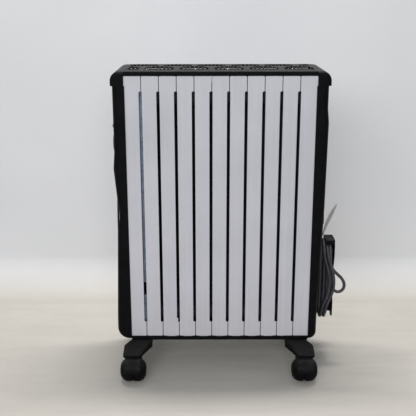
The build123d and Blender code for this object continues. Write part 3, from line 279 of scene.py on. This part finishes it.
def lens():
    """Ribbed amber plastic, cloudy inside."""
    n = Nodes("pilot_amber_look")
    rings = n.tree.nodes.new("ShaderNodeTexWave")
    rings.inputs["Scale"].default_value = 450.0
    n.link(n.where, rings.inputs["Vector"])
    tone = n.mix(n.noise(300.0, 3.0), (0.45, 0.09, 0.01), (0.80, 0.24, 0.03))
    rough = n.span(n.noise(400.0), 0.3, 0.7, 0.10, 0.22)
    ribs = n.bump(rings.outputs["Fac"], 0.3, 0.0002)
    return n.set(Base_Color=tone, Roughness=rough, Coat_Weight=0.5, Subsurface_Weight=0.2,
                 Subsurface_Scale=0.001, Normal=ribs)


def plain(name, low, high):
    """Thermoset, sleeved wire or oil: two close tones, mottled, with a fine grain."""
    n = Nodes(name)
    tone = n.mix(n.span(n.noise(140.0, 5.0, 0.65), 0.3, 0.7, 0.0, 1.0), low, high)
    return n.set(Base_Color=tone, Roughness=n.span(n.noise(300.0), 0.3, 0.7, 0.38, 0.58),
                 Normal=n.bump(n.noise(900.0, 3.0), 0.15, 0.0001))


LOOKS = {
    "slat_enamel": enamel(),
    "galvanised_steel": galvanised(),
    "bright_steel": bright("bright_steel_look", (0.42, 0.42, 0.43), (0.60, 0.60, 0.61)),
    "element_metal": bright("element_metal_look", (0.16, 0.11, 0.08), (0.30, 0.24, 0.19), 0.42),
    "brass_fitting": bright("brass_fitting_look", (0.45, 0.31, 0.12), (0.62, 0.46, 0.20), 0.36),
    "black_plastic": moulded("black_plastic_look", (0.0020, 0.0022, 0.0028), (0.0040, 0.0043, 0.0053),
                             0.36, 0.52, grain=1500.0),
    "black_gloss": moulded("black_gloss_look", (0.0030, 0.0030, 0.0036), (0.0055, 0.0055, 0.0065),
                           0.20, 0.32, grain=2600.0, dust=0.15),
    "caster_plastic": moulded("caster_plastic_look", (0.0022, 0.0022, 0.0027), (0.0045, 0.0045, 0.0052),
                              0.38, 0.56, grain=1300.0, worn=(0.020, 0.0195, 0.019)),
    "cord_jacket": jacket(),
    "tag_paper": card(),
    "pilot_amber": lens(),
    "insulator": plain("insulator_look", (0.62, 0.59, 0.52), (0.78, 0.76, 0.70)),
    "wire_jacket": plain("wire_jacket_look", (0.16, 0.03, 0.02), (0.34, 0.09, 0.06)),
    "heat_oil": plain("heat_oil_look", (0.45, 0.28, 0.05), (0.65, 0.42, 0.10)),
}
SLOT_OF = {part["node"]: part["material_slot"] for part in frame["record"]["subparts"]}
for node_name, node_object in NODES.items():
    for slot in node_object.material_slots:
        slot.material = LOOKS[SLOT_OF[node_name]]


# ------------------------------------------------------- mesh tools
def smooth_faces(mesh):
    for face in mesh.polygons:
        face.use_smooth = True


def new_piece(name, mesh, slot, body="heater", smooth=True):
    """Visible piece that rides on a body and wears its slot's material."""
    piece = add_object(name, mesh)
    mesh.materials.append(LOOKS[slot])
    if smooth:
        smooth_faces(mesh)
    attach(piece, body)
    return piece


def lathe_bmesh(profile, steps=48):
    """Surface turned about Z from (radius, height) pairs, closed where the radius is 0."""
    bm = bmesh.new()
    rings = []
    for radius, height in profile:
        if radius == 0:
            rings.append([bm.verts.new((0, 0, height))])
        else:
            rings.append([bm.verts.new((radius * math.cos(2 * math.pi * k / steps),
                                        radius * math.sin(2 * math.pi * k / steps), height))
                          for k in range(steps)])
    for below, above in zip(rings, rings[1:]):
        for k in range(steps):
            after = (k + 1) % steps
            corners = [below[k % len(below)], below[after % len(below)], above[after % len(above)],
                       above[k % len(above)]]
            unique = list(dict.fromkeys(corners))
            if len(unique) > 2:
                bm.faces.new(unique)
    bmesh.ops.recalc_face_normals(bm, faces=bm.faces)
    return bm


def finish_bmesh(bm, name):
    mesh = bpy.data.meshes.new(name)
    bm.to_mesh(mesh)
    bm.free()
    return mesh


def add_moved(target, bm, matrix):
    """Put a copy of one bmesh, moved by the matrix, into another."""
    spare = finish_bmesh(bm, "spare")
    spare.transform(matrix)
    target.from_mesh(spare)
    bpy.data.meshes.remove(spare)


def ringed(low, high, first_r, last_r, count, groove, shares):
    """Profile of a ringed taper. The shares say where a crest ends and its groove starts and ends."""
    run = (high - low) / count
    points = []
    for step in range(count):
        base = low + run * step
        radius = first_r + (last_r - first_r) * step / count
        crest_end, groove_start, groove_end = (base + run * share for share in shares)
        points += [(radius, base), (radius, crest_end), (radius - groove, groove_start),
                   (radius - groove, groove_end)]
    return points


# ------------------------------------------------------- the cord, one spline from outlet to plug
CORD_D = 7.0
SADDLE_HIGH, SADDLE_LOW = 252.0, 127.0
INNER_R, OUTER_R = 21.3, 28.6          # from a saddle's middle to the cord's
OUTLET_X = 226.8
LEAD = [(OUTLET_X, 0, 302), (OUTLET_X, 0, 290), (OUTLET_X, -6.5, 279), (OUTLET_X, -16.5, 269.5),
        (OUTLET_X, -23, 258), (OUTLET_X, -23.5, 245)]
LOOP = [(247, -23, 245), (248.5, -25, 232), (254, -28, 220), (264, -30, 210), (274, -31, 201),
        (281, -31.5, 189), (280.5, -31.5, 176), (273, -31, 168), (263, -30, 167), (255, -29, 175),
        (251, -28.6, 189), (249.4, -28.6, 206), (248.4, -28.6, 225), (247.8, -28.6, 240)]
TAIL = [(238.4, 29.5, 257), (239, 37, 245), (239, 45, 231), (239, 49.5, 216), (239, 51, 200)]
STRAND_END = 0.07        # a side's points keep this share of its height away from the saddles' middles
STRAND_POINTS = 5
BEND_STEPS = 6
BEND_OUTSIDE = 1.03      # control points of a bend lie this much outside the line that the cord follows
INNER_TURNS = 3
FIRST_HIGH_X, FIRST_MIDDLE_X, FIRST_LOW_X = 226.9, 227.0, 227.2     # the side that comes down from the lead
FIRST_CLEAR = 0.8        # and how much farther from the saddles it hangs
FIRST_SWELL = 1.0
LOW_STEP = 3.7           # how far an inner turn has moved out when it leaves the low saddle,
HIGH_STEP = 7.3          # and when it leaves the high one
HIGH_CROSSING = 1.8      # the part of that step made on the high saddle itself
RISE_MIDDLE = 5.4        # how far out the first rising side is at mid height; each later one is 1 mm more
RISE_SWELL = 1.5         # how far a side swells away from the saddles at mid height
FALL_DRIFT = 0.3
FALL_MIDDLE = 1.6        # how far out a falling side is at mid height, from the high saddle
FALL_SWELL = 1.6
OUTER_START = 247.6
# each outer turn: X where it leaves the high saddle, at the low one, at mid height on the front and back
# at the high one, and how far its front side swells away from the saddles
OUTER_TURNS = ((246.0, 239.5, 257.3, 240.6, 8.4), (240.0, 231.2, 248.2, 232.2, 7.6))
OUTER_LOW_STEP = 2.0
REAR_MIDDLE = 1.5        # how far out the rear sides bow at mid height
REAR_SWELL = 0.8
LAST_X = 236.5


def strand(side, x_low, x_middle, x_high, radius, swell, rising):
    """Control points of one side of a turn between the saddles."""
    points = []
    for step in range(STRAND_POINTS):
        t = STRAND_END + (1 - 2 * STRAND_END) * step / (STRAND_POINTS - 1)
        arch = math.sin(math.pi * t)
        straight = x_low + (x_high - x_low) * t
        x = straight + (x_middle - (x_low + x_high) / 2) * arch
        points.append((x, side * (radius + swell * arch), SADDLE_LOW + (SADDLE_HIGH - SADDLE_LOW) * t))
    return points if rising else points[::-1]


def bend(centre_z, up, from_side, x_from, x_to, radius):
    """Control points of a half circle round a saddle."""
    points = []
    outside = radius * BEND_OUTSIDE
    for step in range(1, BEND_STEPS):
        t = step / BEND_STEPS
        points.append((x_from + (x_to - x_from) * t, from_side * outside * math.cos(math.pi * t),
                       centre_z + up * outside * math.sin(math.pi * t)))
    return points


def inner_turns():
    """The layer next to the saddles, which works its way out from the casing."""
    first_r = INNER_R + FIRST_CLEAR
    points = strand(-1, FIRST_LOW_X, FIRST_MIDDLE_X, FIRST_HIGH_X, first_r, FIRST_SWELL, False)[1:]
    x = FIRST_LOW_X
    for turn in range(INNER_TURNS):
        low_to, high_to = x + LOW_STEP, x + HIGH_STEP
        high_from = high_to - HIGH_CROSSING
        points += bend(SADDLE_LOW, -1, -1, x, low_to, INNER_R)
        points += strand(1, low_to, x + RISE_MIDDLE + turn, high_from, INNER_R, RISE_SWELL, True)
        points += bend(SADDLE_HIGH, 1, 1, high_from, high_to, INNER_R)
        if turn < INNER_TURNS - 1:
            x = high_to + FALL_DRIFT
            points += strand(-1, x, high_to + FALL_MIDDLE, high_to, INNER_R, FALL_SWELL, False)
    return points


def outer_turns():
    """Two looser turns over the inner layer, and the last bend that leads to the plug."""
    points = []
    x = OUTER_START
    for x_back, x_low, x_middle, x_high, swell in OUTER_TURNS:
        x_down = x_low + OUTER_LOW_STEP
        points += bend(SADDLE_HIGH, 1, -1, x, x_back, OUTER_R)
        points += strand(1, x_down, (x_back + x_low) / 2 + REAR_MIDDLE, x_back, OUTER_R, REAR_SWELL, False)
        points += bend(SADDLE_LOW, -1, 1, x_down, x_low, OUTER_R)
        points += strand(-1, x_low, x_middle, x_high, OUTER_R, swell, True)
        x = x_high
    return points + bend(SADDLE_HIGH, 1, -1, x, LAST_X, OUTER_R)[:-1]


def mains_cord(route):
    """One NURBS tube through the route."""
    curve = bpy.data.curves.new("mains_cord", "CURVE")
    curve.dimensions = "3D"
    spline = curve.splines.new("NURBS")
    spline.points.add(len(route) - 1)
    for control, point in zip(spline.points, route):
        control.co = (*place(*point), 1.0)
    spline.order_u = 3
    spline.use_endpoint_u = True
    curve.resolution_u = 6
    curve.bevel_depth = CORD_D / 2000
    curve.bevel_resolution = 5
    curve.use_fill_caps = True
    curve.materials.append(LOOKS["cord_jacket"])
    return add_object("mains_cord", curve)


cord = mains_cord(LEAD + inner_turns() + LOOP + outer_turns() + TAIL)
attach(cord, "heater")
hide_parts("cord_lead", "cord_hank", "cord_loop", "cord_tail")

# ------------------------------------------------------- plug with its ribbed boot
PIN_LENGTH = 0.019
PIN_SPREAD = 0.0095      # from the plug's axis to each pin's
PIN_PROFILE = [(0, 0.0), (0.0017, 0.0), (0.0023, 0.0007), (0.0024, 0.0018), (0.0024, PIN_LENGTH + 0.001)]
BOOT_START = 0.0312      # heights from the plug's face
BOOT_COLLAR = 0.0018     # plain collar above the boot's ribs
plug_low, plug_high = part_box("plug")
face_z = plug_low.z + PIN_LENGTH
plug_axis = Vector(((plug_low.x + plug_high.x) / 2, (plug_low.y + plug_high.y) / 2, 0))


def plug_profile():
    """Rounded body with a grip groove, a shoulder, the ribbed boot and its collar."""
    radius = (plug_high.x - plug_low.x) / 2
    top = plug_high.z - face_z
    profile = [(0, 0), (radius - 0.0012, 0), (radius - 0.0003, 0.0005), (radius, 0.0014), (radius, 0.0105),
               (radius - 0.0006, 0.0112), (radius - 0.0006, 0.0120), (radius, 0.0127),
               (radius - 0.0004, 0.0200), (radius - 0.0022, 0.0250), (radius - 0.0060, 0.0287),
               (0.0098, 0.0300), (0.0086, 0.0306)]
    profile += ringed(BOOT_START, top - BOOT_COLLAR, 0.0083, 0.0050, 7, 0.0012, (0.55, 0.68, 0.92))
    return profile + [(0.0048, top - BOOT_COLLAR), (0.0048, top - 0.0004), (0.0044, top), (0, top)]


plug = new_piece("plug_body", finish_bmesh(lathe_bmesh(plug_profile(), 64), "plug_body"), "black_gloss")
plug.location = plug_axis + Vector((0, 0, face_z))
soften = plug.modifiers.new("soften", "BEVEL")
soften.width = 0.0002
soften.segments = 2
soften.limit_method = "ANGLE"
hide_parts("plug")
pins_bm = bmesh.new()
for pin_side in (-1, 1):
    add_moved(pins_bm, lathe_bmesh(PIN_PROFILE, 32), Matrix.Translation((0, pin_side * PIN_SPREAD, 0)))
pins = new_piece("plug_pins", finish_bmesh(pins_bm, "plug_pins"), "bright_steel")
pins.location = plug_axis + Vector((0, 0, plug_low.z))

# ------------------------------------------------------- strain relief: a ringed taper
RELIEF_START = 0.0012    # height of the first ring, from the free end
RELIEF_COLLAR = 0.0045   # plain collar under the outlet
RELIEF_EDGE = 0.0003     # bevel of the collar's edge
relief_low, relief_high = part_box("strain_relief")
relief_length = relief_high.z - relief_low.z
profile = [(0.0035, 0.0), (0.0040, 0.0002), (0.0042, 0.0008)]
profile += ringed(RELIEF_START, relief_length - RELIEF_COLLAR - RELIEF_EDGE, 0.00415, 0.00475, 8, 0.0007,
                  (0.5, 0.62, 0.9))
profile += [(0.0048, relief_length - RELIEF_COLLAR), (0.0048, relief_length - RELIEF_EDGE),
            (0.0048 - RELIEF_EDGE, relief_length), (0, relief_length)]
relief = new_piece("strain_relief_rings", finish_bmesh(lathe_bmesh(profile, 40), "strain_relief_rings"),
                   "cord_jacket")
relief.location = ((relief_low.x + relief_high.x) / 2, (relief_low.y + relief_high.y) / 2, relief_low.z)
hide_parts("strain_relief")

# ------------------------------------------------------- blank hang tag, curled, tapering to a point
TAG_ROWS, TAG_COLUMNS = 26, 9
TAG_END = 0.01           # share of the CAD tag's height left free at each end
TAG_FOOT = 0.0030        # how far the foot stands in from the CAD tag's side
TAG_TIP = 0.0042         # and the tip
TAG_LEAST, TAG_SWELL = 0.003, 0.026    # width of the tip, and what the widest row adds to it
TAG_CURL = 0.0030
TAG_FORWARD = 0.003      # how far the tag stands in front of the CAD tag's middle
TAG_TURN, TAG_UNTURN = 70, 26          # degrees that the foot is turned from the X axis, and the tip less
tag_low, tag_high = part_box("cord_tag")


def tag_row(bm, t):
    """Points across the tag at a share t of its height: it turns, leans out and curls on the way up."""
    z = tag_low.z + (tag_high.z - tag_low.z) * (TAG_END + (1 - 2 * TAG_END) * t)
    lean = 0.78 * t + 0.22 * t * t
    spine_x = tag_low.x + TAG_FOOT + (tag_high.x - tag_low.x - TAG_FOOT - TAG_TIP) * lean
    spine_y = (tag_low.y + tag_high.y) / 2 - TAG_FORWARD
    width = TAG_LEAST + TAG_SWELL * math.sin(math.pi * (0.12 + 0.88 * t))
    turn = math.radians(TAG_TURN - TAG_UNTURN * t)
    row = []
    for j in range(TAG_COLUMNS + 1):
        share = j / TAG_COLUMNS
        across = (share - 0.5) * width
        curl = TAG_CURL * (1 - (2 * share - 1) ** 2) * (0.4 + 0.6 * t)
        row.append(bm.verts.new((spine_x + across * math.cos(turn) + curl * math.sin(turn),
                                 spine_y + across * math.sin(turn) - curl * math.cos(turn), z)))
    return row


tag_bm = bmesh.new()
grid = [tag_row(tag_bm, i / TAG_ROWS) for i in range(TAG_ROWS + 1)]
for below, above in zip(grid, grid[1:]):
    for j in range(TAG_COLUMNS):
        tag_bm.faces.new((below[j], below[j + 1], above[j + 1], above[j]))
tag = new_piece("hang_tag", finish_bmesh(tag_bm, "hang_tag"), "tag_paper")
thick = tag.modifiers.new("thickness", "SOLIDIFY")
thick.thickness = 0.0005
thick.offset = 0
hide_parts("cord_tag")

# ------------------------------------------------------- pan head screws on the rear, with cross recesses
HEAD_R = 0.0036
HEAD_PROFILE = [(HEAD_R, 0.0), (HEAD_R, 0.0007), (0.0033, 0.0012), (0.0026, 0.0016), (0.0013, 0.0018),
                (0, 0.0018)]
SCREW_HEIGHTS = (0.130, 0.350, 0.590)
RECESS_R = 0.0023
RECESS_HALF = 0.0004     # half width of each arm of the cross
RECESS_DEPTH = 0.0007
RECESS_ABOVE = 0.0013    # only faces above this height are sunk


def screw_head():
    """Pan head with the faces along its cross pushed in."""
    bm = lathe_bmesh(HEAD_PROFILE, 32)
    for face in list(bm.faces):
        middle = face.calc_center_median()
        on_cross = min(abs(middle.x), abs(middle.y)) < RECESS_HALF and middle.xy.length < RECESS_R
        if on_cross and middle.z > RECESS_ABOVE:
            for vert in face.verts:
                if vert.co.xy.length < RECESS_R:
                    vert.co.z -= RECESS_DEPTH
    return bm


screw_low, screw_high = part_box("cover_screws")
facing_rear = Matrix.Rotation(math.radians(-90), 4, "X")
screws_bm = bmesh.new()
for screw_x in (screw_low.x + HEAD_R, screw_high.x - HEAD_R):
    for screw_z in SCREW_HEIGHTS:
        add_moved(screws_bm, screw_head(), Matrix.Translation((screw_x, screw_low.y, screw_z)) @ facing_rear)
screws = new_piece("rear_screws", finish_bmesh(screws_bm, "rear_screws"), "bright_steel")
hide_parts("cover_screws")

# ------------------------------------------------------- raised marks: ring of ticks and pointer
TICK_COUNT = 11
TICK_STEP = 27.0         # degrees between ticks, so that the ring spans the dial's 270
TICK_RING_R = 0.0243
TICK_LENGTH = 0.0020
TICK_WIDTH, WIDE_TICK_WIDTH = 0.0005, 0.0009
MARK_HEIGHT = 0.0003
POINTER_R = 0.0135       # from the dial's axis to the pointer's middle
POINTER_WIDTH, POINTER_LENGTH = 0.0010, 0.0080
RAY_START = 0.05         # the search for the bezel's face starts this far outside the dial


def add_block(bm, centre, size, turn=0.0):
    """Small block in the YZ plane, turned about X."""
    matrix = Matrix.Translation(centre) @ Matrix.Rotation(turn, 4, "X") @ Matrix.Diagonal((*size, 1.0))
    bmesh.ops.create_cube(bm, size=1.0, matrix=matrix)


bpy.context.view_layer.update()
dial_low, dial_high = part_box("thermostat_dial")
dial_centre = (dial_low + dial_high) / 2
bezel = NODES["control_bezel"]
to_local = bezel.matrix_world.inverted()
inward = to_local.to_3x3() @ Vector((1, 0, 0))
ticks_bm = bmesh.new()
for step in range(TICK_COUNT):
    turn = math.radians(-TICK_STEP * step)
    spot = dial_centre + Vector((0, -TICK_RING_R * math.sin(turn), TICK_RING_R * math.cos(turn)))
    start = Vector((dial_low.x - RAY_START, spot.y, spot.z))
    found, surface, _, _ = bezel.ray_cast(to_local @ start, inward)
    if found:
        spot.x = (bezel.matrix_world @ surface).x
        width = WIDE_TICK_WIDTH if step % 5 == 0 else TICK_WIDTH
        add_block(ticks_bm, spot, (MARK_HEIGHT, width, TICK_LENGTH), turn)
new_piece("dial_ticks", finish_bmesh(ticks_bm, "dial_ticks"), "insulator", smooth=False)
pointer_bm = bmesh.new()
pointer_at = Vector((dial_low.x, dial_centre.y, dial_centre.z + POINTER_R))
add_block(pointer_bm, pointer_at, (MARK_HEIGHT, POINTER_WIDTH, POINTER_LENGTH))
new_piece("dial_pointer", finish_bmesh(pointer_bm, "dial_pointer"), "insulator", body="dial", smooth=False)

# ------------------------------------------------------- floor and wall
WALL_Y = 0.392
WALL_TOP = 0.95
COVE = 0.10              # radius of the curve from the floor to the wall
COVE_LIFT = 0.0008       # keeps the wall's foot clear of the floor
SHEET_HALF = 4.0
FLOOR_TONES = ((0.385, 0.368, 0.334), (0.430, 0.412, 0.376))
WALL_TONES = ((0.640, 0.650, 0.664), (0.680, 0.690, 0.704))


def mottled(n, tones):
    return n.mix(n.span(n.noise(3.0, 5.0), 0.3, 0.7, 0.0, 1.0), *tones)


def matt(n, tone):
    return n.set(Base_Color=tone, Roughness=n.span(n.noise(40.0), 0.3, 0.7, 0.55, 0.75),
                 Normal=n.bump(n.noise(300.0, 3.0), 0.05, 0.0005))


def floor_look():
    """Matt floor with a faint darker grain."""
    n = Nodes("floor_look")
    grain = n.span(n.noise(1.0, 5.0, 0.6, n.scaled(3.5, 26.0, 1.0)), 0.45, 0.75, 0.0, 0.35)
    return matt(n, n.mix(grain, mottled(n, FLOOR_TONES), tuple(0.8 * c for c in FLOOR_TONES[0])))


def wall_look():
    """Matt wall that takes the floor's tone at its foot and can be seen through from behind."""
    n = Nodes("wall_look")
    height = n.span(n.axis("Z"), 0.0, 0.09, 0.0, 1.0)
    matt(n, n.mix(height, FLOOR_TONES[0], mottled(n, WALL_TONES)))
    clear = n.tree.nodes.new("ShaderNodeBsdfTransparent")
    choose = n.tree.nodes.new("ShaderNodeMixShader")
    n.link(n.tree.nodes.new("ShaderNodeNewGeometry").outputs["Backfacing"], choose.inputs[0])
    n.link(n.shader.outputs[0], choose.inputs[1])
    n.link(clear.outputs[0], choose.inputs[2])
    n.link(choose.outputs[0], n.tree.nodes["Material Output"].inputs["Surface"])
    return n.material


def backdrop(name, outline, look):
    """Wide sheet that follows an outline in Y and Z."""
    bm = bmesh.new()
    previous = None
    for y, z in outline:
        pair = (bm.verts.new((-SHEET_HALF, y, z)), bm.verts.new((SHEET_HALF, y, z)))
        if previous:
            bm.faces.new((previous[0], previous[1], pair[1], pair[0]))
        previous = pair
    mesh = finish_bmesh(bm, name)
    mesh.materials.append(look)
    smooth_faces(mesh)
    add_object(name, mesh)


cove = [(WALL_Y - COVE + COVE * math.sin(math.radians(a)), COVE_LIFT + COVE * (1 - math.cos(math.radians(a))))
        for a in range(0, 91, 9)]
backdrop("floor", [(-SHEET_HALF, 0.0), (SHEET_HALF, 0.0)], floor_look())
backdrop("wall", cove + [(WALL_Y, WALL_TOP)], wall_look())


# ------------------------------------------------------- light
def area_light(name, location, target, size, power, tint):
    data = bpy.data.lights.new(name, "AREA")
    data.shape = "RECTANGLE"
    data.size, data.size_y = size
    data.energy = power
    data.color = tint
    light = add_object(name, data)
    light.location = location
    light.rotation_euler = (Vector(target) - Vector(location)).to_track_quat("-Z", "Y").to_euler()


area_light("overhead", (0.0, 0.26, 2.3), (0, 0.16, 0.2), (1.2, 0.24), 51, (1.0, 0.98, 0.955))
area_light("front", (-0.5, -2.9, 1.7), (0, 0, 0.3), (2.4, 1.2), 60, (1.0, 0.99, 0.985))
world = bpy.data.worlds.new("studio")
bpy.context.scene.world = world
world.use_nodes = True
sky = world.node_tree.nodes["Background"]
sky.inputs["Color"].default_value = (0.90, 0.93, 1.0, 1.0)
sky.inputs["Strength"].default_value = 0.46
bpy.context.scene.view_settings.view_transform = "Standard"
